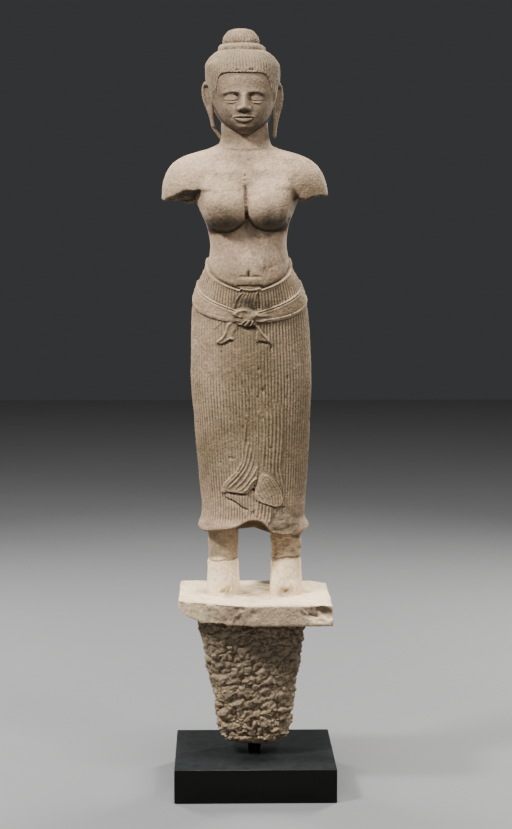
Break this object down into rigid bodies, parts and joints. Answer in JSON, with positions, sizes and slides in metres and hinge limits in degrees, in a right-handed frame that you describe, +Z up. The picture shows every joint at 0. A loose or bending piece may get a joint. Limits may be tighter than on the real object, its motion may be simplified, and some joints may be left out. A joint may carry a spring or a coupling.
{
  "type": "carved sandstone female figure on a pin mount",
  "caption": "Standing draped female figure in carved sandstone, without arms, on its own slab and rough tenon, held by a steel pin above a black display block.",
  "frame": {"origin": "middle of the display block's underside", "axes": "+Z up through the standing figure; the figure faces -Y and +X is to the right of someone who looks at its front"},
  "size_m": [0.2468, 0.23, 1.0915],
  "materials": {
    "sandstone": "worn carved grey-brown sandstone with a fine grain and old patina",
    "black_steel": "blackened steel rod",
    "black_lacquer": "black satin lacquered display block"
  },
  "bodies": {
    "root": {"figure": "sandstone", "mount_pin": "black_steel", "display_base": "black_lacquer"}
  },
  "joints": []
}
